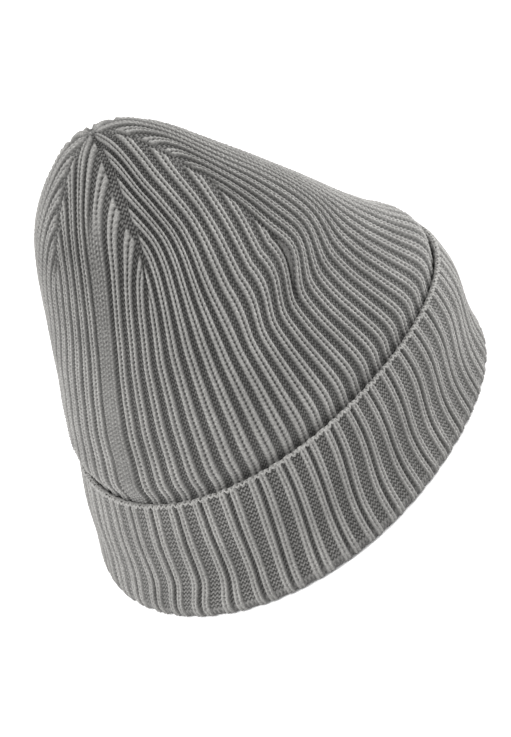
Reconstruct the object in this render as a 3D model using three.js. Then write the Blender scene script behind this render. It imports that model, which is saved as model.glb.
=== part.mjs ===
// Knit beanie: a ribbed dome of one knitted layer with a turned-up cuff round its foot.
// Millimetres, +Z up. The hat stands on its folded rim at z = 0, the forehead is towards -Y
// and the back seam towards +Y.
//
// Every piece is first laid out on a round hat (radius, angle, height). wear() then gives it
// the shape that a head gives it: an egg-shaped ring, a slight twist and a slouching crown.
import * as THREE from 'three';

const { clamp, degToRad, lerp } = THREE.MathUtils;

// Overall size
const HAT_HEIGHT = 203;
const CUFF_HEIGHT = 61.5;
const ROUND_RADIUS = 88;
const BODY_WALL = 3.2;
const CUFF_WALL = 3.4;
const GAP = 0.4;
const SEGMENTS = 64;

// The worn ring at the round hat's reference radius: half widths, how full its corners and its
// back are, its turn at the rim and at the cuff's top, and how much lower its back sits
const HEAD_HALF_WIDTH = 83.6;
const HEAD_HALF_LENGTH = 94.4;
const RING_POWER = 2.06;
const BACK_FULLNESS = 0.11;
const TWIST = { rim: degToRad(5), cuffTop: degToRad(-8) };
const BACK_DROP = 1.5;

// How far the slouching crown stands off the centre, as [height, shift]
const LEAN_BACK = [[0, 2.3], [61, -6.3], [101, -1], [142, 4.1], [172, 5.2], [203, -1.1]];
const LEAN_SIDE = [[0, 1.2], [61, -2.2], [132, -5.6], [203, 1.8]];

// The body's outside on the round hat, as [radius, height] from its foot to its crown
const BODY_FOOT = 4.8;
const BODY_OUTSIDE = [
  [94, BODY_FOOT], [92.2, 20], [91.2, 40], [87.2, 57], [86.9, 68], [82.5, 85], [72.1, 110], [60.8, 134],
  [49.1, 158], [36.9, 179], [24.5, 193], [13.5, 200.5], [0, HAT_HEIGHT],
];
const BODY_STEPS = 20;

// The cuff's outside, from the rim's fold to its free edge, and its web under the body's foot
const CUFF_OUTSIDE = [[98.6, 3], [97, 20], [96.2, 40], [92.6, 56.5]];
const CUFF_STEPS = 6;
const RIM_FACE = { inner: 91.2, outer: 96.6 };
const WEB_HEIGHT = BODY_FOOT - GAP;
const EDGE_CHAIN = { section: 2.3, sides: 6 };

// Seams, label and gathering yarn. The seams lie a little to one side of the centre of the
// back, and the body's seam winds round with the slouching crown.
const SEAM_ANGLE = degToRad(100);
const CROWN_TURN = degToRad(30);
const CROWN_TURN_SPAN = [75, 190];
const BODY_SEAM = { width: 6, height: 1.8, from: 0.05, to: 0.9, steps: 17 };
const CUFF_SEAM = { width: 6, height: 0.5, foot: 6, top: 54, steps: 8 };
const LABEL = { width: 20, length: 38, thickness: 0.8, top: 52, radius: 82.2 };
const LABEL_STITCHING = { width: 18, height: 1.6, depth: 1.6, radius: 82.1 };
const GATHER_RING = { radius: 6.5, yarn: 1.1, height: 196.6 };
const KNOT_RADIUS = 3;

const YARN = { color: 0x8e8d8a, roughness: 0.95, metalness: 0 };
const THREAD = { color: 0x7f7e7b, roughness: 0.9, metalness: 0 };
const LABEL_CLOTH = { color: 0xe9e8e4, roughness: 0.8, metalness: 0 };

/** A smooth function of height through [height, value] pairs. */
function smooth(pairs) {
  const heights = pairs.map(([height]) => height);
  const values = pairs.map(([, value]) => value);
  const spline = new THREE.CubicInterpolant(heights, values, 1, [0]);
  return (height) => spline.evaluate(clamp(height, heights[0], heights.at(-1)))[0];
}

const leanBack = smooth(LEAN_BACK);
const leanSide = smooth(LEAN_SIDE);

/** The worn ring's radius at an angle, at the height where the round one is ROUND_RADIUS. */
function ringRadius(angle, height) {
  const up = clamp(height / CUFF_HEIGHT, 0, 1);
  const turned = angle - lerp(TWIST.rim, TWIST.cuffTop, up);
  const across = Math.abs(Math.cos(turned) / HEAD_HALF_WIDTH) ** RING_POWER;
  const along = Math.abs(Math.sin(turned) / HEAD_HALF_LENGTH) ** RING_POWER;
  const egg = 1 + BACK_FULLNESS * Math.sin(turned) * Math.cos(turned) ** 2;
  return egg * (across + along) ** (-1 / RING_POWER);
}

/** Moves a point of the round hat to its place on the worn one. */
function wearPoint(point) {
  const angle = Math.atan2(point.y, point.x);
  const radius = (Math.hypot(point.x, point.y) / ROUND_RADIUS) * ringRadius(angle, point.z);
  const rise = clamp(point.z / CUFF_HEIGHT, 0, 1);
  const fade = clamp((HAT_HEIGHT - point.z) / (HAT_HEIGHT - CUFF_HEIGHT), 0, 1);
  return new THREE.Vector3(
    radius * Math.cos(angle) + leanSide(point.z),
    radius * Math.sin(angle) + leanBack(point.z),
    point.z - BACK_DROP * Math.sin(angle) * rise * fade,
  );
}

/** Moves every vertex of a geometry by a function of its point. */
function reshape(geometry, move) {
  const positions = geometry.getAttribute('position');
  for (let i = 0; i < positions.count; i += 1) {
    const moved = move(new THREE.Vector3().fromBufferAttribute(positions, i));
    positions.setXYZ(i, moved.x, moved.y, moved.z);
  }
  geometry.computeVertexNormals();
  return geometry;
}

/** Turns a [radius, height] profile round Z and puts it on the head. */
function wornLathe(profile) {
  const points = profile.map(([radius, height]) => new THREE.Vector2(radius, height));
  const round = new THREE.LatheGeometry(points, SEGMENTS).rotateX(Math.PI / 2);
  return reshape(round, wearPoint);
}

const bodyCurve = new THREE.SplineCurve(BODY_OUTSIDE.map(([radius, height]) => new THREE.Vector2(radius, height)));
const cuffCurve = new THREE.SplineCurve(CUFF_OUTSIDE.map(([radius, height]) => new THREE.Vector2(radius, height)));

/** The [radius, height] of a point on a profile curve, moved in from it by a depth. */
function inside(curve, fraction, depth) {
  const point = curve.getPointAt(fraction);
  const tangent = curve.getTangentAt(fraction);
  return [Math.max(point.x - tangent.y * depth, 0), point.y + tangent.x * depth];
}

/** Points along a whole profile curve, moved in by a depth. */
function layer(curve, steps, depth) {
  return Array.from({ length: steps + 1 }, (_, i) => inside(curve, i / steps, depth));
}

/** A strip along the back seam: place gives the round hat's [radius, height] at a fraction of
 *  its length, and at a depth between 0 and 1. */
function seamStrip(width, steps, place) {
  const strip = new THREE.BoxGeometry(width, 1, 1, 2, 1, steps);
  return reshape(strip, ({ x, y, z }) => {
    const [radius, height] = place(z + 0.5, 0.5 - y);
    const turn = CROWN_TURN * THREE.MathUtils.smoothstep(height, ...CROWN_TURN_SPAN);
    const angle = SEAM_ANGLE + turn - x / radius;
    return wearPoint(new THREE.Vector3(radius * Math.cos(angle), radius * Math.sin(angle), height));
  });
}

function piece(name, geometry, finish) {
  const mesh = new THREE.Mesh(geometry, new THREE.MeshStandardMaterial(finish));
  mesh.name = name;
  return mesh;
}

/** The ribbed dome: one knitted layer, open at its foot and gathered shut at its crown. */
function knitBody() {
  const outside = layer(bodyCurve, BODY_STEPS, 0);
  const lining = layer(bodyCurve, BODY_STEPS, BODY_WALL).reverse();
  lining[0] = [0, HAT_HEIGHT - BODY_WALL];
  return piece('knit_body', wornLathe([...lining, ...outside]), YARN);
}

/** The outer layer of the rim: it folds under the body's foot and stands up outside it. */
function turnedUpCuff() {
  const outside = layer(cuffCurve, CUFF_STEPS, 0);
  const lining = layer(cuffCurve, CUFF_STEPS, CUFF_WALL).reverse();
  lining[CUFF_STEPS] = [lining[CUFF_STEPS][0], WEB_HEIGHT];
  const web = [[RIM_FACE.inner, WEB_HEIGHT], [RIM_FACE.inner, 0], [RIM_FACE.outer, 0]];
  return piece('turned_up_cuff', wornLathe([...outside, ...lining, ...web, outside[0]]), YARN);
}

/** The chain of cast-on loops that finishes the cuff's free edge. */
function cuffEdgeChain() {
  const [outerRadius, cuffTop] = CUFF_OUTSIDE.at(-1);
  const radius = outerRadius - CUFF_WALL / 2 - GAP;
  const height = cuffTop + GAP + EDGE_CHAIN.section;
  const ring = Array.from({ length: EDGE_CHAIN.sides + 1 }, (_, i) => {
    const turn = ((i % EDGE_CHAIN.sides) + 0.5) * ((2 * Math.PI) / EDGE_CHAIN.sides);
    return [radius + EDGE_CHAIN.section * 0.8 * Math.cos(turn), height + EDGE_CHAIN.section * Math.sin(turn)];
  });
  return piece('cuff_edge_chain', wornLathe(ring), YARN);
}

/** The ridge inside the body where the panel's two side edges are sewn together. */
function backSeam() {
  const strip = seamStrip(BODY_SEAM.width, BODY_SEAM.steps, (along, depth) => {
    const fraction = lerp(BODY_SEAM.from, BODY_SEAM.to, along);
    return inside(bodyCurve, fraction, BODY_WALL + GAP + depth * BODY_SEAM.height);
  });
  return piece('back_seam', strip, YARN);
}

/** The same seam in the cuff, pressed flat between the cuff and the body. */
function cuffSeam() {
  const span = cuffCurve.getLength();
  const strip = seamStrip(CUFF_SEAM.width, CUFF_SEAM.steps, (along, depth) => {
    const height = lerp(CUFF_SEAM.foot, CUFF_SEAM.top, along);
    return inside(cuffCurve, clamp(height / span, 0, 1), CUFF_WALL + GAP * 0.8 + depth * CUFF_SEAM.height);
  });
  return piece('cuff_seam', strip, YARN);
}

/** Stands a flat piece inside the hat, square to the seam's direction from the centre. */
function besideSeam(mesh, radius, height) {
  mesh.position.set(radius * Math.cos(SEAM_ANGLE), radius * Math.sin(SEAM_ANGLE), height);
  mesh.rotation.z = SEAM_ANGLE - Math.PI / 2;
  return mesh;
}

/** The blank care label, which hangs inside the back of the hat from its top edge. */
function careLabel() {
  const { width, length, thickness, top, radius } = LABEL;
  const cloth = new THREE.BoxGeometry(width, thickness, length);
  return besideSeam(piece('care_label', cloth, LABEL_CLOTH), radius, top - length / 2);
}

/** The row of stitches above the label, which holds it to the seam. */
function labelStitching() {
  const { width, height, depth, radius } = LABEL_STITCHING;
  const row = new THREE.BoxGeometry(width, depth, height);
  return besideSeam(piece('label_stitching', row, THREAD), radius, LABEL.top + GAP + height / 2);
}

/** The yarn drawn through the last stitches, which closes the crown from the inside. */
function gatherYarn() {
  const { radius, yarn, height } = GATHER_RING;
  const ring = new THREE.TorusGeometry(radius, yarn, 8, 24).translate(0, 0, height);
  return piece('gather_yarn', reshape(ring, wearPoint), YARN);
}

/** The knot that ties the gathering yarn off. */
function gatherKnot() {
  const knot = new THREE.SphereGeometry(KNOT_RADIUS, 16, 10).translate(0, 0, GATHER_RING.height);
  return piece('gather_knot', reshape(knot, wearPoint), YARN);
}

const beanie = new THREE.Group();
beanie.name = 'knit_beanie';
beanie.add(
  knitBody(),
  turnedUpCuff(),
  cuffEdgeChain(),
  backSeam(),
  cuffSeam(),
  careLabel(),
  labelStitching(),
  gatherYarn(),
  gatherKnot(),
);

export default beanie;
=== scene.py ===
"""The looks of the knit beanie: ribbed knitting, looped edge, label and gathered crown.

Lengths are millimetres on the hat and are turned into metres when a mesh is made. The hat is
laid out round (angle, radius, height) and then worn, in the way that the CAD part is.
"""

import math

import bpy
import numpy as np
from mathutils import Matrix, Vector


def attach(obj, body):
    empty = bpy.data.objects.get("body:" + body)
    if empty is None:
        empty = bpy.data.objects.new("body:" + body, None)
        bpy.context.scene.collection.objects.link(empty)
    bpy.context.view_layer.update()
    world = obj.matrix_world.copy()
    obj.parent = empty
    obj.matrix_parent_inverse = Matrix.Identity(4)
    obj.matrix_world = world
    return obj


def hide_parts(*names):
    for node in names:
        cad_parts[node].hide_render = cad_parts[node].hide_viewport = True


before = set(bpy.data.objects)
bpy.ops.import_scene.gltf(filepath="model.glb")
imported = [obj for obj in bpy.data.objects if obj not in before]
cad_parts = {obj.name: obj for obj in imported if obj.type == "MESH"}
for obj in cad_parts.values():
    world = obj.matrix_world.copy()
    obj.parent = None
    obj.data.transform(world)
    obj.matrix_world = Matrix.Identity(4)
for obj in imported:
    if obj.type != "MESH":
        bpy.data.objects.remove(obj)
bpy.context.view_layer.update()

MM = 0.001
RNG = np.random.default_rng(7)

# The worn shape. It is the CAD part's, but for a crown that leans up to 1.1 mm otherwise.
HAT_HEIGHT = 203
CUFF_HEIGHT = 61.5
ROUND_RADIUS = 88
HEAD_HALF_WIDTH = 83.6
HEAD_HALF_LENGTH = 94.4
RING_POWER = 2.06
BACK_FULLNESS = 0.11
TWIST_RIM = math.radians(5)
TWIST_CUFF_TOP = math.radians(-8)
BACK_DROP = 1.5
LEAN_BACK = [[0, 2.3], [61, -6.3], [101, -1], [142, 4.4], [172, 5.9], [203, 0]]
LEAN_SIDE = [[0, 1.2], [61, -2.2], [132, -5.4], [203, 2.6]]
BODY_OUTSIDE = [
    [94, 4.8], [92.2, 20], [91.2, 40], [87.2, 57], [86.9, 68], [82.5, 85], [72.1, 110],
    [60.8, 134], [49.1, 158], [36.9, 179], [24.5, 193], [13.5, 200.5], [0, 203],
]
CUFF_OUTSIDE = [[98.6, 3], [97, 20], [96.2, 40], [92.6, 56.5]]
BODY_WALL = 3.2
CUFF_WALL = 3.4

# Knitting. Round the body run knit ribs, and one broad purl column at the seam; places round
# the body are counted in ribs from the middle of that column. Round the cuff run repeats.
# A course is one row of stitches. An arc is a distance from the rim along the profile.
RIBS = 63
SEAM_WIDTH = 1.5
PLACES = RIBS + SEAM_WIDTH
CUFF_REPEATS = 44
COURSE = 2.05
SAMPLES_PER_RIB = 18
SAMPLES_PER_COURSE = 6
APEX_ARC = 240
BODY_SHOWS_FROM = 46
KNIT_SHARE = 0.55
KNIT_SLACK = 0.06
SLACK_ANGLE = math.radians(110)
SEAM_STITCHES = 3
SEAM_FADE = (208, 186)
RIB_DEPTH = 2.3
PURL_RISE = 0.6
PURL_WALE = 2.4
FUZZ = 0.065
COURSE_WAVE = 0.05
CUFF_EDGE_ARC = 62
LINING_STEP = 1.3
HIDDEN_STEP = 2.0
CUFF_RIB_DEPTH = 1.2
CUFF_KNIT = 0.23
CUFF_FURROW = 0.15
CUFF_LEAN = -0.3
CUFF_LEAN_ANGLE = math.radians(150)
CUFF_FULLER = 2.2
CUFF_FULLER_ANGLE = math.radians(130)
CUFF_KINK = {"turn": 0.3, "angle": math.radians(112), "width": 0.3}
SAMPLES_PER_REPEAT = 32
FOLD_ARC = 4
FOLD_START = (92.2, 4.4)
LIP_HEIGHT = 1.3
EDGE = {"loops_per_repeat": 5, "samples_per_loop": 12, "yarn": 0.55, "wind": 0.9}

# The crown is six gores. Their centre ribs run to the top, and the ribs between end on the
# decrease lines. Each line's turn is [distance from the rim, degrees from its foot].
TURN_SEAM = [[60, 2.5], [80, 4.9], [100, 5.8], [115, 8], [130, 12], [150, 17.5], [170, 24],
             [180, 27], [190, 29], [240, 29.5]]
TURN_LEFT = [[60, 2], [80, 3.5], [100, 6], [115, 8.5], [130, 11.5], [140, 15], [160, 23],
             [167, 26], [173, 29.5], [180, 33], [185, 34.5], [192, 36], [206, 37.5], [214, 39],
             [240, 39.5]]
TURN_MIDDLE = [[60, 3], [80, 5], [100, 8], [115, 10], [130, 13.5], [145, 17.5], [155, 21.5],
               [165, 27], [175, 31.5], [190, 33], [200, 30.5], [240, 30.5]]
TURN_RIGHT = [[60, 3], [80, 5.5], [100, 7.5], [114, 10], [119, 13.5], [127, 22], [131, 25.5],
              [137, 28], [145, 29.5], [155, 32.5], [170, 36], [180, 38.5], [190, 37.5],
              [200, 35.5], [215, 30.5], [240, 27.5]]
TURN_FAR = [[60, 3], [80, 5], [100, 7.5], [112, 10.5], [117, 13], [127, 22], [133, 25.5],
            [145, 29.5], [160, 31], [240, 30.5]]
TURN_BACK = [[60, 2.5], [80, 4.5], [100, 6], [115, 8.5], [130, 12], [150, 20], [170, 26],
             [185, 30.5], [195, 31.5], [240, 31.5]]
SEAM_ANGLE = 100
TURN_SMOOTHING = 17
EASE = (-9, -6, -3, 0, 3, 6, 9)
CREASE_LINE = 14.75
CREASE_ARC = 129
CREASE_LENGTH = 11
# A gore's half never gets narrower than this many ribs, plus this for each mm to the apex
LEAST_RIBS = 0.05
LEAST_GROWTH = 0.055
# The knit wales stop this near a decrease line, or where a rib is stretched this wide (mm)
LINE_MARGIN = (0.3, 1.8)
STRETCHED = (13, 19)
# [place of the foot, turn, start of the narrowing, end of the narrowing, crowding], centres and
# decrease lines in turn; the narrowing and crowding are of the half gore that begins there
GORES = [
    [-1.25, TURN_SEAM, 160, 232, 0.8], [4.25, TURN_LEFT, 172, 225, 0.1],
    [9.25, TURN_MIDDLE, 124, 236, 0.2], [14.75, TURN_RIGHT, 174, 228, 1],
    [20.25, TURN_FAR, 165, 230, 0.5], [25.75, TURN_BACK, 165, 230, 0.5],
    [31.25, TURN_BACK, 165, 230, 0.5], [36.75, TURN_BACK, 165, 230, 0.5],
    [42.25, TURN_BACK, 165, 230, 0.5], [47.75, TURN_BACK, 165, 230, 0.5],
    [53.25, TURN_BACK, 180, 226, 0.5], [58.75, TURN_BACK, 180, 224, 0.4],
]

# Where the body stands out from its plain shape, or sinks: [mm, distance from the rim, width],
# all round, at the forehead and beside the crown's tip
OVER_EDGE = [1.8, 73, 9]
FOREHEAD_ANGLE = 262
FOREHEAD = [[2.2, 66, 12], [-2.2, 102, 28]]
TIP_ANGLE = 290
TIP = [-2.6, 213, 20]
BACK_ANGLE = 78
BACK_SWELL = 2.2

# Camera: its degrees round and above the hat, its roll, distance and lens, and how far it is
# aimed beside the hat's middle
CAMERA = {"azimuth": 253.2, "elevation": 29.5, "roll": 33.9, "distance": 2107, "lens": 221}
HAT_MIDDLE = (1.2, 0.3, 96.5)
AIM_ACROSS = 22.9
AIM_BELOW = 30.05

# Light: each soft box's degrees round from the camera, elevation and watts
SOFT_BOXES = {"left_box": (-85, 42, 30), "right_box": (95, 28, 38)}
SOFT_BOX_DISTANCE = 1.6
SOFT_BOX_SIZE = 1.0

YARN_COLOUR = (0.235, 0.231, 0.222)
THREAD_COLOUR = (0.19, 0.187, 0.18)
CLOTH_COLOUR = (0.55, 0.545, 0.53)
FIBRE_SCALE = 1400
PATCH_SCALE = 45

# Inside the hat
SEAM_STITCH = 2.4
SEAM_STEP = 0.7
LABEL = {"width": 20, "length": 38, "thickness": 0.7, "top": 52, "radius": 82.2}
LABEL_STITCHES = {"width": 17, "zigzags": 9, "thread": 0.3, "height": 53.2, "radius": 82.3}
GATHER = {"radius": 6.5, "height": 196.6, "turns": 16, "ply": 0.5, "wind": 0.42}


def direction(azimuth, elevation):
    """The way from the hat to something that stands at these degrees round and above it."""
    a, e = math.radians(azimuth), math.radians(elevation)
    return Vector((math.sin(a) * math.cos(e), -math.cos(a) * math.cos(e), math.sin(e)))


def make_camera():
    """A long lens above the hat's side, rolled so that the crown leans to the left."""
    back = direction(CAMERA["azimuth"], CAMERA["elevation"])
    a = math.radians(CAMERA["azimuth"])
    right = Vector((math.cos(a), math.sin(a), 0))
    up = back.cross(right)
    r = math.radians(CAMERA["roll"])
    across = right * math.cos(r) - up * math.sin(r)
    above = right * math.sin(r) + up * math.cos(r)
    target = Vector(HAT_MIDDLE) + across * AIM_ACROSS - above * AIM_BELOW
    data = bpy.data.cameras.new("camera")
    data.lens = CAMERA["lens"]
    data.clip_end = 20
    camera = bpy.data.objects.new("camera", data)
    turn = Matrix((across, above, back)).transposed().to_4x4()
    camera.matrix_world = Matrix.Translation((target + back * CAMERA["distance"]) * MM) @ turn
    bpy.context.scene.collection.objects.link(camera)
    bpy.context.scene.camera = camera


make_camera()


def spline(points, per_span=48):
    """A smooth line through the points."""
    p = np.array(points, float)
    p = np.vstack([p[:1], p, p[-1:]])
    t = np.linspace(0, 1, per_span, endpoint=False)[:, None]
    spans = []
    for a, b, c, d in zip(p, p[1:], p[2:], p[3:]):
        bend = 2 * a - 5 * b + 4 * c - d + t * (3 * (b - c) + d - a)
        spans.append(b + 0.5 * t * (c - a + t * bend))
    return np.vstack(spans + [p[-1:]])


def cubic(pairs, at):
    """A smooth function through [place, value] pairs, as the CAD's."""
    x, y = np.array(pairs, float).T
    at = np.clip(at, x[0], x[-1])
    i = np.clip(np.searchsorted(x, at, side="right"), 1, len(x) - 1)
    before = np.where(i > 1, i - 2, i)
    after = np.where(i < len(x) - 1, i + 1, i - 1)
    x0, x1 = x[i - 1], x[i]
    x_before = np.where(i > 1, x[before], 2 * x0 - x1)
    x_after = np.where(i < len(x) - 1, x[np.minimum(after, len(x) - 1)], 2 * x1 - x0)
    w0 = (x1 - x0) / 2 / (x0 - x_before)
    w1 = (x1 - x0) / 2 / (x_after - x1)
    t = (at - x0) / (x1 - x0)
    return (
        (-w0 * t**3 + 2 * w0 * t**2 - w0 * t) * y[before]
        + ((1 + w0) * t**3 + (-1.5 - 2 * w0) * t**2 + (-0.5 + w0) * t + 1) * y[i - 1]
        + ((-1 - w1) * t**3 + (1.5 + w1) * t**2 + 0.5 * t) * y[i]
        + (w1 * t**3 - w1 * t**2) * y[after]
    )


def worn(angle, radius, height):
    """Puts points of the round hat on the head."""
    up = np.clip(height / CUFF_HEIGHT, 0, 1)
    turned = angle - (TWIST_RIM + (TWIST_CUFF_TOP - TWIST_RIM) * up)
    across = np.abs(np.cos(turned) / HEAD_HALF_WIDTH) ** RING_POWER
    along = np.abs(np.sin(turned) / HEAD_HALF_LENGTH) ** RING_POWER
    egg = 1 + BACK_FULLNESS * np.sin(turned) * np.cos(turned) ** 2
    r = radius / ROUND_RADIUS * egg * (across + along) ** (-1 / RING_POWER)
    fade = np.clip((HAT_HEIGHT - height) / (HAT_HEIGHT - CUFF_HEIGHT), 0, 1)
    return np.stack([
        r * np.cos(angle) + cubic(LEAN_SIDE, height),
        r * np.sin(angle) + cubic(LEAN_BACK, height),
        height - BACK_DROP * np.sin(angle) * up * fade,
    ], axis=-1)


class Profile:
    """A profile of the round hat, by the distance along it."""

    def __init__(self, points, end_arc=None, start_arc=None):
        self.line = spline(points)
        steps = np.linalg.norm(np.diff(self.line, axis=0), axis=1)
        arc = np.concatenate([[0], np.cumsum(steps)])
        self.arc = arc + (end_arc - arc[-1] if end_arc is not None else start_arc)

    def on_line(self, arc):
        """[radius, height] on the profile itself."""
        return [np.interp(arc, self.arc, values) for values in self.line.T]

    def at(self, arc, depth=0):
        """[radius, height] at distances along the profile, at a depth inside it."""
        step = 0.5
        radius, height = self.on_line(arc)
        radius_before, height_before = self.on_line(arc - step)
        radius_after, height_after = self.on_line(arc + step)
        dr, dz = radius_after - radius_before, height_after - height_before
        size = np.maximum(np.hypot(dr, dz), 1e-9)
        return np.maximum(radius - dz / size * depth, 0.02), height + dr / size * depth


body_profile = Profile(BODY_OUTSIDE, end_arc=APEX_ARC)
cuff_profile = Profile(CUFF_OUTSIDE, start_arc=3)


def smoothstep(x, low, high):
    """0 at low and 1 at high, with a smooth rise between."""
    t = np.clip((x - low) / (high - low), 0, 1)
    return t * t * (3 - 2 * t)


def bell(x, width):
    """1 at 0, falling smoothly to about a third at the width."""
    return np.exp(-((x / width) ** 2))


def facing(angle, degrees):
    """1 at one side of the hat, and soon 0 away from it."""
    return np.cos((angle - math.radians(degrees)) / 2) ** 8


def normals(grid):
    """Outward normals of a grid of (rows, columns), closed round its columns."""
    around = np.roll(grid, -1, axis=1) - np.roll(grid, 1, axis=1)
    along = np.gradient(grid, axis=0)
    n = np.cross(around, along)
    return n / np.maximum(np.linalg.norm(n, axis=2, keepdims=True), 1e-9)


def closed_mesh(name, rings, depth, material, close_round=False):
    """A closed mesh from rings of points: capped at its ends, or its last ring joined to its
    first. depth is the painted shade of each point, from 0 to 1, high in the knitting's hollows."""
    rows, columns = rings.shape[:2]
    points = rings.reshape(-1, 3)
    low = np.arange(columns)
    high = (low + 1) % columns
    starts = np.arange(rows if close_round else rows - 1)[:, None] * columns
    ends = (starts + columns) % (rows * columns)
    quads = np.stack([starts + low, starts + high, ends + high, ends + low], axis=2)
    loops, sizes = quads.reshape(-1), np.full(quads.size // 4, 4)
    row = np.arange(len(starts))
    corner_u = np.stack([low, low + 1, low + 1, low], axis=1) / columns
    corner_v = np.stack([row, row, row + 1, row + 1], axis=1) / len(starts)
    u = corner_u[None].repeat(len(starts), 0).reshape(-1)
    v = corner_v[:, None].repeat(columns, 1).reshape(-1)
    if not close_round:
        first, last = rows * columns, rows * columns + 1
        top = (rows - 1) * columns
        points = np.vstack([points, rings[[0, -1]].mean(axis=1)])
        fan = np.vstack([
            np.stack([high, low, np.full(columns, first)], axis=1),
            np.stack([top + low, top + high, np.full(columns, last)], axis=1),
        ])
        loops = np.concatenate([loops, fan.reshape(-1)])
        sizes = np.concatenate([sizes, np.full(len(fan), 3)])
        fan_u = np.repeat(low, 3) / columns
        u = np.concatenate([u, fan_u, fan_u])
        v = np.concatenate([v, np.zeros(len(fan_u)), np.ones(len(fan_u))])
        depth = np.concatenate([depth.reshape(-1), [0, 0]])
    mesh = bpy.data.meshes.new(name)
    mesh.vertices.add(len(points))
    mesh.vertices.foreach_set("co", (points * MM).reshape(-1))
    mesh.loops.add(len(loops))
    mesh.loops.foreach_set("vertex_index", loops.astype(np.int32))
    mesh.polygons.add(len(sizes))
    mesh.polygons.foreach_set("loop_start", (np.cumsum(sizes) - sizes).astype(np.int32))
    mesh.polygons.foreach_set("use_smooth", np.ones(len(sizes), bool))
    mesh.update(calc_edges=True)
    # The painted shade, kept as the "depth" attribute that darkens the yarn's colour.
    attribute = mesh.attributes.new("depth", "FLOAT", "POINT")
    attribute.data.foreach_set("value", depth.reshape(-1).astype(np.float32))
    layer = mesh.uv_layers.new(name="OFBake")
    layer.data.foreach_set("uv", np.stack([u, v], axis=1).reshape(-1).astype(np.float32))
    mesh.materials.append(material)
    return placed(name, mesh)


def placed(name, mesh):
    """A new object of the scene."""
    obj = bpy.data.objects.new(name, mesh)
    bpy.context.scene.collection.objects.link(obj)
    return obj


# Materials


def node_material(name, colour, roughness, sheen, mottle, painted_shade_multiplier, bump):
    """Wool-like yarn or thread: mottled, with painted shade in its hollows, and a fine fibre
    bump.
    """
    material = bpy.data.materials.new(name)
    material.use_nodes = True
    nodes, links = material.node_tree.nodes, material.node_tree.links
    shader = nodes["Principled BSDF"]
    shader.inputs["Roughness"].default_value = roughness
    shader.inputs["Sheen Weight"].default_value = sheen
    shader.inputs["Sheen Roughness"].default_value = 0.6
    shader.inputs["Specular IOR Level"].default_value = 0.2
    place = nodes.new("ShaderNodeTexCoord")

    def noise(scale, detail):
        n = nodes.new("ShaderNodeTexNoise")
        n.inputs["Scale"].default_value = scale
        n.inputs["Detail"].default_value = detail
        links.new(place.outputs["Object"], n.inputs["Vector"])
        return n

    def ramp(value, low, high, at_low, at_high):
        r = nodes.new("ShaderNodeMapRange")
        r.inputs["From Min"].default_value, r.inputs["From Max"].default_value = low, high
        r.inputs["To Min"].default_value, r.inputs["To Max"].default_value = at_low, at_high
        links.new(value, r.inputs["Value"])
        return r.outputs["Result"]

    def times(a, b):
        m = nodes.new("ShaderNodeMath")
        m.operation = "MULTIPLY"
        links.new(a, m.inputs[0])
        links.new(b, m.inputs[1])
        return m.outputs[0]

    # Painted shade: the "depth" attribute darkens the colour in the knitting's hollows.
    painted_shade = nodes.new("ShaderNodeAttribute")
    painted_shade.attribute_name = "depth"
    fine, broad = noise(FIBRE_SCALE, 3), noise(PATCH_SCALE, 2)
    light = times(
        ramp(painted_shade.outputs["Fac"], 0, 1, 1, painted_shade_multiplier),
        times(
            ramp(fine.outputs["Fac"], 0.3, 0.7, 1 - mottle, 1 + mottle),
            ramp(broad.outputs["Fac"], 0.3, 0.7, 1 - mottle / 3, 1 + mottle / 3),
        ),
    )
    scaled = nodes.new("ShaderNodeVectorMath")
    scaled.operation = "SCALE"
    scaled.inputs[0].default_value = colour
    links.new(light, scaled.inputs["Scale"])
    links.new(scaled.outputs["Vector"], shader.inputs["Base Color"])
    relief = nodes.new("ShaderNodeBump")
    relief.inputs["Strength"].default_value = bump
    relief.inputs["Distance"].default_value = 0.0004
    links.new(fine.outputs["Fac"], relief.inputs["Height"])
    links.new(relief.outputs["Normal"], shader.inputs["Normal"])
    return material


# The sixth number is how dark the painted shade makes the colour in the darkest hollows.
YARN = node_material("yarn", YARN_COLOUR, 0.95, 0.08, 0.32, 0.12, 1.0)
THREAD = node_material("thread", THREAD_COLOUR, 0.85, 0.1, 0.1, 0.5, 0.3)
CLOTH = node_material("label_cloth", CLOTH_COLOUR, 0.75, 0.1, 0.05, 0.7, 0.3)


# The body's knitting


def turn_of(table, arc):
    """The smoothed turn of a line of the crown, in degrees."""
    dense = np.arange(0.0, APEX_ARC + 60)
    values = np.interp(dense, *np.array(table, float).T)
    window = np.hanning(TURN_SMOOTHING)
    padded = np.pad(values, TURN_SMOOTHING // 2, mode="edge")
    return np.interp(arc, dense, np.convolve(padded, window / window.sum(), "valid"))


def half_gores():
    """Each half gore: the places of its foot's two ends, its two lines' turns, the start and
    end of its narrowing, its crowding, and whether it runs from a centre to a decrease line."""
    after_last = [GORES[0][0] + PLACES, *GORES[0][1:]]
    found = []
    for i, (gore, after) in enumerate(zip(GORES, GORES[1:] + [after_last])):
        place, turn, start, end, crowding = gore
        found.append((place, after[0], turn, after[1], start, end, crowding, i % 2 == 0))
    return found


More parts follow.
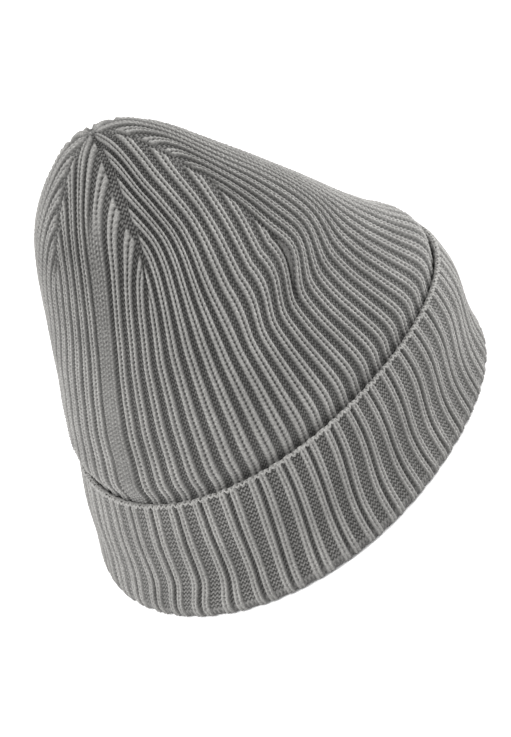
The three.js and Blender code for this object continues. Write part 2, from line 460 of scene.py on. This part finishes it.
def body_layout(arc):
    """For rows at distances arc, every column's angle, its place in ribs, its signed distance
    from its decrease line in ribs and in radians, how far the gore narrows there (0 to 1), and
    that line's place. In a narrowed gore the ribs crowd towards its centre and spread where
    they meet the line."""
    angles, places, to_line, turned, narrowing, lines = [], [], [], [], [], []
    for place, after, turn, after_turn, start, end, crowding, from_centre in half_gores():
        count = after - place
        steps = max(4, round(count * SAMPLES_PER_RIB))
        f = np.arange(steps) / steps
        low = SEAM_ANGLE + place * 360 / PLACES + turn_of(turn, arc)
        high = SEAM_ANGLE + after * 360 / PLACES + turn_of(after_turn, arc)
        span = (high - low)[:, None]
        angles.append(low[:, None] + span * f)
        turned.append(span * (f - 1 if from_centre else f))
        shape = angles[-1].shape
        lines.append(np.full(shape, after if from_centre else place, float))
        least = LEAST_RIBS + np.clip(APEX_ARC - arc, 0, None) * LEAST_GROWTH
        narrowed = [np.clip(count * (end - arc - k) / (end - start), least, count) for k in EASE]
        left = np.minimum(np.mean(narrowed, axis=0), count)[:, None]
        crowd = crowding * smoothstep(1 - left / count, 0, 0.6)
        from_line = 1 - f if from_centre else f
        out = left * (1 - from_line ** (1 + crowd))
        places.append(place + out if from_centre else after - out)
        to_line.append(out - left if from_centre else left - out)
        narrowing.append(np.broadcast_to(smoothstep(count - left, 0, 0.4), shape))
    angles, places, to_line, turned, narrowing, lines = map(
        np.hstack, (angles, places, to_line, turned, narrowing, lines)
    )
    return np.radians(angles), places, to_line, np.radians(turned), narrowing, lines


def knit_stitch(side, course):
    """Height, from 0 to 1, over a knit wale: two slanting legs, side being -1 to 1 across."""
    away = np.abs(side)
    beads = 0.5 + 0.5 * np.cos(2 * np.pi * (course - 0.55 * away))
    legs = bell(away - 0.52, 0.5) * (0.68 + 0.32 * beads)
    eyes = bell(away, 0.24) * (0.5 - 0.5 * np.cos(2 * np.pi * course)) ** 1.5
    return legs - 0.4 * eyes


def purl_stitch(wales, course):
    """Height, from 0 to 1, over purl wales, counted across: one curved bump for each course."""
    wave = np.cos(2 * np.pi * wales)
    bump = 0.5 + 0.5 * np.cos(2 * np.pi * (course + 0.24 * wave))
    return bump * (0.78 + 0.22 * np.cos(4 * np.pi * wales))


def in_pattern(place):
    """The part of a rib, from -0.5 to 0.5 about its middle, and the distance in ribs from the
    middle of the seam column."""
    from_seam = np.mod(place + SEAM_WIDTH / 2, PLACES) - SEAM_WIDTH / 2
    rib = from_seam - SEAM_WIDTH / 2 - 0.5
    return rib - np.round(rib), from_seam


def front_relief(place, course, ends, angle, beside_line):
    """Height in mm and painted shade (0 to 1) of the body's front side. The knit wales are
    broader on the slack side of the back, and stop where ends falls to 0, beside a decrease line.
    There the purl stitches are counted in mm from the line, by beside_line."""
    part, from_seam = in_pattern(place)
    away = np.abs(part)
    share = KNIT_SHARE + KNIT_SLACK * np.cos(angle - SLACK_ANGLE)
    knit = smoothstep(share / 2 + 0.05 - away, 0, 0.1) * ends
    cord = knit_stitch(np.clip(part / (share / 2), -1.3, 1.3), course)
    band = purl_stitch((away - 0.5) / (1 - share) * 2, course + 0.5)
    band = band * ends + purl_stitch(beside_line / PURL_WALE, course + 0.5) * (1 - ends)
    height = RIB_DEPTH * (knit * (0.4 + 0.6 * cord) - 1) + (1 - knit) * PURL_RISE * band
    # Painted shade: darker in the purl bands, most between their bumps, and between the knit
    # legs.
    painted_shade = (1 - knit) * (1.05 - 0.72 * band) + knit * np.clip(0.8 - cord, 0, 1)

    seam = smoothstep(SEAM_WIDTH / 2 - np.abs(from_seam), 0, 0.08)
    seam = seam * smoothstep(course * COURSE, *SEAM_FADE)
    across = from_seam * SEAM_STITCHES / SEAM_WIDTH
    flat = purl_stitch(across, course) * (0.7 + 0.3 * np.cos(4 * np.pi * across))
    sides = bell(np.abs(from_seam) - SEAM_WIDTH / 2 + 0.07, 0.07)
    height = height * (1 - seam) + seam * (1.3 * flat - 0.8 - 0.9 * sides)
    # The seam column's painted shade: darker between its stitches and in the grooves at its
    # sides.
    painted_shade = painted_shade * (1 - seam) + seam * (0.58 - 0.6 * flat + 0.35 * sides)
    return height + 0.5, np.clip(painted_shade, 0, 1)


def lining_relief(place, course):
    """The same for the side that faces the head, where the wales are the other way out."""
    part, _ = in_pattern(place)
    bumps = purl_stitch(part * 3, course)
    ridge = smoothstep(np.abs(part), 0.2, 0.34)
    # The second value is painted shade: darker between the ridges and the bumps.
    return 0.9 * ridge + 0.35 * bumps - 1.0, np.clip(0.7 - 0.5 * ridge - 0.3 * bumps, 0, 1)


def swelling(arc, height, middle, width):
    """A smooth swelling round the body."""
    return height * bell(arc - middle, width)


def body_fullness(angle, arc):
    """How much the body stands out from its plain shape: it swells over the cuff's edge, most
    at the back and the forehead, and sinks above the forehead and beside the crown's tip."""
    back = BACK_SWELL * smoothstep(arc, 50, CUFF_EDGE_ARC) * smoothstep(arc, 115, 75)
    return (
        swelling(arc, *OVER_EDGE)
        + facing(angle, BACK_ANGLE) * back
        + facing(angle, FOREHEAD_ANGLE) * sum(swelling(arc, *row) for row in FOREHEAD)
        + facing(angle, TIP_ANGLE) * swelling(arc, *TIP)
    )


def crease(to_line, line, arc):
    """The sharp fold along one decrease line, where the far side overhangs the near one."""
    along = bell(arc - CREASE_ARC, CREASE_LENGTH) * (line == CREASE_LINE)
    return along * np.where(to_line > 0, 2.4 * bell(to_line, 2.2), -1.4 * bell(to_line, 1.2))


def rib_width(place, around, arc):
    """The width in mm of one rib, square to the rib, for rows of places and distances round."""
    per_mm = np.gradient(place, axis=1) / np.gradient(around, axis=1)
    per_row = np.gradient(place, arc, axis=0) - per_mm * np.gradient(around, arc, axis=0)
    return 1 / np.maximum(np.hypot(per_mm, per_row), 0.01)


def body_side(arc, wall):
    """Points and painted shade of one side of the body: its front where wall is 0, else its
    lining, that far inside."""
    angle, place, to_line, turned, narrowing, line = body_layout(arc)
    radius, height = body_profile.at(arc, wall)
    base = worn(angle, radius[:, None], height[:, None])
    full = body_fullness(angle, arc[:, None]) + crease(to_line, line, arc[:, None])
    base += normals(base) * ((-1 if wall else 1) * full)[..., None]
    course = arc[:, None] / COURSE + COURSE_WAVE * np.sin(angle * 9)
    if wall:
        up, painted_shade = lining_relief(place, course)
    else:
        beside_line = turned * radius[:, None]
        stretched = smoothstep(rib_width(place, angle * radius[:, None], arc), *STRETCHED)
        beside = 1 - smoothstep(np.abs(beside_line), *LINE_MARGIN)
        ends = 1 - narrowing * np.maximum(beside, stretched)
        up, painted_shade = front_relief(place, course, ends, angle, beside_line)
    up = up + FUZZ * RNG.standard_normal(up.shape)
    fade = smoothstep(APEX_ARC - arc, 0, 7) * (1 - 0.5 * bell(arc - CUFF_EDGE_ARC, 5))
    return base + normals(base) * (up * fade[:, None])[..., None], painted_shade


def make_body():
    """The body: its lining from the crown down to the foot, then its front up to the crown."""
    foot = body_profile.arc[0]
    lining_arc = np.arange(APEX_ARC - 1.2, foot, -LINING_STEP)
    hidden_arc = np.arange(foot, BODY_SHOWS_FROM, HIDDEN_STEP)
    front_arc = np.arange(BODY_SHOWS_FROM, APEX_ARC - 0.8, COURSE / SAMPLES_PER_COURSE)
    # Each side comes with its painted shade, darker in the hollows of its knitting.
    lining, lining_painted_shade = body_side(lining_arc, BODY_WALL)
    front, front_painted_shade = body_side(np.concatenate([hidden_arc, front_arc]), 0)
    rings = np.vstack([lining, front])
    return closed_mesh("body_knit", rings, np.vstack([lining_painted_shade, front_painted_shade]), YARN)


# The cuff's knitting


def cuff_relief(repeat, course):
    """Height and painted shade of the cuff's front: knit one, purl one, knit one, purl two."""
    part = repeat - np.floor(repeat)
    from_furrow = np.abs(part - 0.5)
    place = (from_furrow - CUFF_FURROW / 2) / CUFF_KNIT
    knit = smoothstep(0.5 + 0.12 - np.abs(place - 0.5), 0, 0.2)
    cord = knit_stitch(np.clip(2 * place - 1, -1.3, 1.3), course)
    furrow = smoothstep(0.15 - place, 0, 0.3)
    dots = purl_stitch(part / CUFF_FURROW, course + 0.3)
    band_width = 1 - CUFF_FURROW - 2 * CUFF_KNIT
    band = purl_stitch((0.5 - from_furrow) / band_width * 3, course)
    purl = furrow * (0.4 * dots - 0.7) + (1 - furrow) * (0.8 * band - 0.4)
    height = knit * (0.45 + 0.75 * cord) + (1 - knit) * purl
    # Painted shade: darker in the furrow and the purl band, and between the knit legs.
    purl_painted_shade = furrow * (1 - 0.6 * dots) + (1 - furrow) * (1 - 0.95 * band)
    painted_shade = knit * np.clip(0.8 - cord, 0, 1) * 0.8 + (1 - knit) * purl_painted_shade
    return CUFF_RIB_DEPTH * (height - 1) + 0.6, np.clip(painted_shade, 0, 1)


def cuff_section():
    """The cuff's section, as radius, height and distance from the fold: down its hidden side,
    round the fold at the rim, up its front and over its lip."""
    top = cuff_profile.arc[-1]
    hidden_arc = np.arange(top, FOLD_ARC, -HIDDEN_STEP)
    front_arc = np.arange(FOLD_ARC, top, COURSE / SAMPLES_PER_COURSE)
    hidden = cuff_profile.at(hidden_arc, CUFF_WALL)
    front = cuff_profile.at(front_arc)
    fold = np.linspace(0, 1, 16)[1:-1]
    fold_arc = np.linspace(-FOLD_ARC, FOLD_ARC, 16)[1:-1]
    start, end = FOLD_START, (front[0][0], front[1][0])
    fold_radius = start[0] + (end[0] - start[0]) * (0.5 - 0.5 * np.cos(np.pi * fold))
    fold_height = (start[1] + (end[1] - start[1]) * fold) * (1 - np.sin(np.pi * fold) ** 0.55)
    lip = np.linspace(0, 1, 8)[1:-1]
    lip_radius = front[0][-1] - CUFF_WALL * lip
    lip_height = front[1][-1] + LIP_HEIGHT * np.sin(np.pi * lip) ** 0.6
    radius = np.concatenate([hidden[0], [start[0]], fold_radius, front[0], lip_radius])
    height = np.concatenate([hidden[1], [start[1]], fold_height, front[1], lip_height])
    arc = np.concatenate([-hidden_arc, [-FOLD_ARC], fold_arc, front_arc, top + 3 * lip])
    return radius, height, arc


def cuff_repeats(angle, height):
    """The place in the cuff's pattern, in repeats: it leans, wanders, and has one kink."""
    up = smoothstep(height, 10, 60)
    lean = up * CUFF_LEAN * np.sin(angle - CUFF_LEAN_ANGLE)
    wave = 0.035 * np.sin(angle * 13 + height * 0.06)
    slow_wave = 0.03 * np.sin(angle * 5 - height * 0.05)
    beside_kink = bell(angle - CUFF_KINK["angle"], CUFF_KINK["width"])
    kink = CUFF_KINK["turn"] * beside_kink * smoothstep(height, 20, 4)
    return CUFF_REPEATS * angle / (2 * np.pi) + lean + wave + slow_wave + kink


def make_cuff():
    """The turned-up cuff: a closed section, carried round the head."""
    columns = CUFF_REPEATS * SAMPLES_PER_REPEAT
    angle = np.arange(columns) / columns * 2 * np.pi
    top = cuff_profile.arc[-1]
    radius, height, arc = (values[:, None] for values in cuff_section())
    base = worn(np.broadcast_to(angle, (len(radius), columns)), radius, height)
    up, painted_shade = cuff_relief(cuff_repeats(angle, height), arc / COURSE)
    up = up + FUZZ * RNG.standard_normal(up.shape)
    shown = smoothstep(arc, -3, 7) * smoothstep(arc, top + 3.5, top)
    fuller = CUFF_FULLER * bell(height - 4, 14) * smoothstep(arc, -3, 3)
    fuller = fuller * np.cos((angle - CUFF_FULLER_ANGLE) / 2) ** 2
    base += normals(base) * (up * shown + fuller)[..., None]
    # The fold, the lip and the hidden side get an even painted shade.
    painted_shade = painted_shade * shown + 0.4 * (1 - shown)
    base[..., 2] = np.maximum(base[..., 2], 0.05)
    return closed_mesh("cuff_knit", base, painted_shade, YARN, close_round=True)


def tube(name, path, radius, sides, material, closed=True):
    """A tube along a path, closed to a ring or with capped ends."""
    path = np.asarray(path, float)
    if closed:
        along = np.roll(path, -1, axis=0) - np.roll(path, 1, axis=0)
    else:
        along = np.gradient(path, axis=0)
    along /= np.linalg.norm(along, axis=1, keepdims=True)
    side = np.cross(along, [0.31, 0.17, 0.93])
    side /= np.linalg.norm(side, axis=1, keepdims=True)
    other = np.cross(along, side)
    turn = np.arange(sides) / sides * 2 * np.pi
    radius = np.broadcast_to(radius, len(path))[:, None, None]
    rings = path[:, None] + radius * (
        side[:, None] * np.cos(turn)[None, :, None] + other[:, None] * np.sin(turn)[None, :, None]
    )
    return closed_mesh(name, rings, np.zeros(rings.shape[:2]), material, close_round=closed)


def joined(name, objects):
    """Joins meshes into one piece."""
    first = objects[0]
    chosen = {"active_object": first, "object": first}
    chosen |= {"selected_objects": objects, "selected_editable_objects": objects}
    with bpy.context.temp_override(**chosen):
        bpy.ops.object.join()
    first.name = name
    first.data.name = name
    return first


def make_edge():
    """The cast-on edge: two strands wound into a row of small loops along the cuff's top."""
    loops = CUFF_REPEATS * EDGE["loops_per_repeat"]
    samples = loops * EDGE["samples_per_loop"]
    t = np.arange(samples) / samples * 2 * np.pi
    radius, height = cuff_profile.line[-1]
    scallop = 0.25 * np.cos(2 * t * CUFF_REPEATS)
    strands = []
    for start in (0, np.pi):
        wind = t * loops / 2 + start
        r = radius - 1.1 + EDGE["wind"] * np.cos(wind)
        z = height + 0.6 + EDGE["wind"] * np.abs(np.sin(wind)) - scallop
        strands.append(tube(f"strand_{start:.0f}", worn(t, r, z), EDGE["yarn"], 8, YARN))
    return joined("edge_loops", strands)


def seam_cord(name, profile, ends, depth, turn, section, bumps):
    """A bumpy overlocked cord along a seam, between two distances along a profile, at a depth
    inside it. turn is the seam's table of turns."""
    arc = np.arange(*ends, SEAM_STEP)
    radius, height = profile.at(arc, depth)
    path = worn(np.radians(SEAM_ANGLE + turn_of(turn, arc)), radius, height)
    section = section + bumps * np.sin(arc * 2 * np.pi / SEAM_STITCH)
    return tube(name, path, section, 10, YARN, closed=False)


def body_seam():
    """The seam's ridge inside the back."""
    return seam_cord("seam_ridge", body_profile, (16, 216), BODY_WALL + 1.1, TURN_SEAM, 1.3, 0.25)


def cuff_seam():
    """The seam of the cuff, on the side that faces the body."""
    straight = [[0, 0], [APEX_ARC, 0]]
    depth = CUFF_WALL + 0.2
    return seam_cord("cuff_seam_ridge", cuff_profile, (9, 53), depth, straight, 0.9, 0.15)


SEAM_OUT = np.array([math.cos(math.radians(SEAM_ANGLE)), math.sin(math.radians(SEAM_ANGLE)), 0])
SEAM_SIDE = np.array([-SEAM_OUT[1], SEAM_OUT[0], 0])


def care_label():
    """The blank care label: a thin woven strip with a slight curl."""
    rows, columns = 60, 30
    v = np.linspace(0, 1, rows)[:, None]
    u = np.linspace(-1, 1, columns)[None]
    across = u * LABEL["width"] / 2 * np.ones_like(v)
    down = v * LABEL["length"] * np.ones_like(u)
    weave = 0.05 * np.cos(u * 60) * np.cos(v * 190)
    sheets = []
    for face in (1, -1):
        out = LABEL["radius"] + face * (LABEL["thickness"] / 2 + weave) - 1.2 * v**2
        p = out[..., None] * SEAM_OUT + across[..., None] * SEAM_SIDE
        p[..., 2] += LABEL["top"] - down
        sheets.append(p)
    ring = np.concatenate([sheets[0], sheets[1][:, ::-1]], axis=1)
    return closed_mesh("label_cloth_piece", ring[::-1], np.zeros(ring.shape[:2]), CLOTH)


def label_stitches():
    """The row of zigzag stitches above the label."""
    t = np.linspace(0, 1, 160)
    across = (t - 0.5) * LABEL_STITCHES["width"]
    wind = t * 2 * np.pi * LABEL_STITCHES["zigzags"]
    out = LABEL_STITCHES["radius"] + 0.2 * np.cos(wind)
    path = out[:, None] * SEAM_OUT + across[:, None] * SEAM_SIDE
    path[:, 2] += LABEL_STITCHES["height"] + 0.45 * np.sin(wind)
    return tube("label_stitches", path, LABEL_STITCHES["thread"], 8, THREAD, closed=False)


def gather_ring():
    """The gathering yarn: a ring of two plies inside the crown."""
    t = np.arange(360) / 360 * 2 * np.pi
    strands = []
    for start in (0, np.pi):
        wind = t * GATHER["turns"] + start
        r = GATHER["radius"] + GATHER["wind"] * np.cos(wind)
        z = GATHER["height"] + GATHER["wind"] * np.sin(wind)
        strands.append(tube(f"ply_{start:.0f}", worn(t, r, z), GATHER["ply"], 8, YARN))
    return joined("gather_ring", strands)


def gather_knot():
    """The small knot that ties the gathering yarn off."""
    t = np.arange(240) / 240 * 2 * np.pi
    x = (2 + np.cos(3 * t)) * np.cos(2 * t)
    y = (2 + np.cos(3 * t)) * np.sin(2 * t)
    z = np.sin(3 * t) * 0.9 + GATHER["height"]
    path = np.stack([x * 0.7 + 1.1, y * 0.7 + 0.3, z], axis=1)
    return tube("gather_knot_tied", path, 0.62, 8, YARN)


def dress():
    """Makes every piece, attaches it to what it rides on and hides the CAD parts that it stands
    for.
    """
    pieces = [
        (make_body(), "hat", "yarn", ["knit_body"]),
        (make_cuff(), "hat", "yarn", ["turned_up_cuff"]),
        (make_edge(), "hat", "yarn", ["cuff_edge_chain"]),
        (body_seam(), "hat", "yarn", ["back_seam"]),
        (cuff_seam(), "hat", "yarn", ["cuff_seam"]),
        (care_label(), "label", "label_cloth", ["care_label"]),
        (label_stitches(), "hat", "thread", ["label_stitching"]),
        (gather_ring(), "hat", "yarn", ["gather_yarn"]),
        (gather_knot(), "hat", "yarn", ["gather_knot"]),
    ]
    for piece, rides, slot, nodes in pieces:
        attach(piece, rides)
        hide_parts(*nodes)
    return {piece.name: piece for piece, *_ in pieces}


def plane(name, size, height, colour):
    """A square of the studio, facing up."""
    mesh = bpy.data.meshes.new(name)
    s = size / 2
    corners = [(-s, -s, height), (s, -s, height), (s, s, height), (-s, s, height)]
    mesh.from_pydata(corners, [], [(0, 1, 2, 3)])
    material = bpy.data.materials.new(name)
    material.use_nodes = True
    shader = material.node_tree.nodes["Principled BSDF"]
    shader.inputs["Base Color"].default_value = (*colour, 1)
    shader.inputs["Roughness"].default_value = 0.9
    mesh.materials.append(material)
    placed(name, mesh)


def soft_box(name, azimuth, elevation, power):
    """A square lamp that faces the hat."""
    out = direction(azimuth, elevation)
    data = bpy.data.lights.new(name, "AREA")
    data.shape, data.size, data.energy = "SQUARE", SOFT_BOX_SIZE, power
    obj = placed(name, data)
    obj.location = out * SOFT_BOX_DISTANCE + Vector((0, 0, 0.1))
    obj.rotation_mode = "QUATERNION"
    obj.rotation_quaternion = out.to_track_quat("Z", "Y")


def studio():
    """The white floor and surroundings and the two soft boxes."""
    plane("floor", 8, -0.0005, (0.95, 0.95, 0.95))
    world = bpy.data.worlds.new("studio")
    bpy.context.scene.world = world
    world.use_nodes = True
    world.node_tree.nodes["Background"].inputs["Color"].default_value = (1, 1, 1, 1)
    world.node_tree.nodes["Background"].inputs["Strength"].default_value = 1.0
    for name, (turn, elevation, power) in SOFT_BOXES.items():
        soft_box(name, CAMERA["azimuth"] + turn, elevation, power)
    bpy.context.scene.view_settings.view_transform = "Standard"


pieces = dress()
studio()
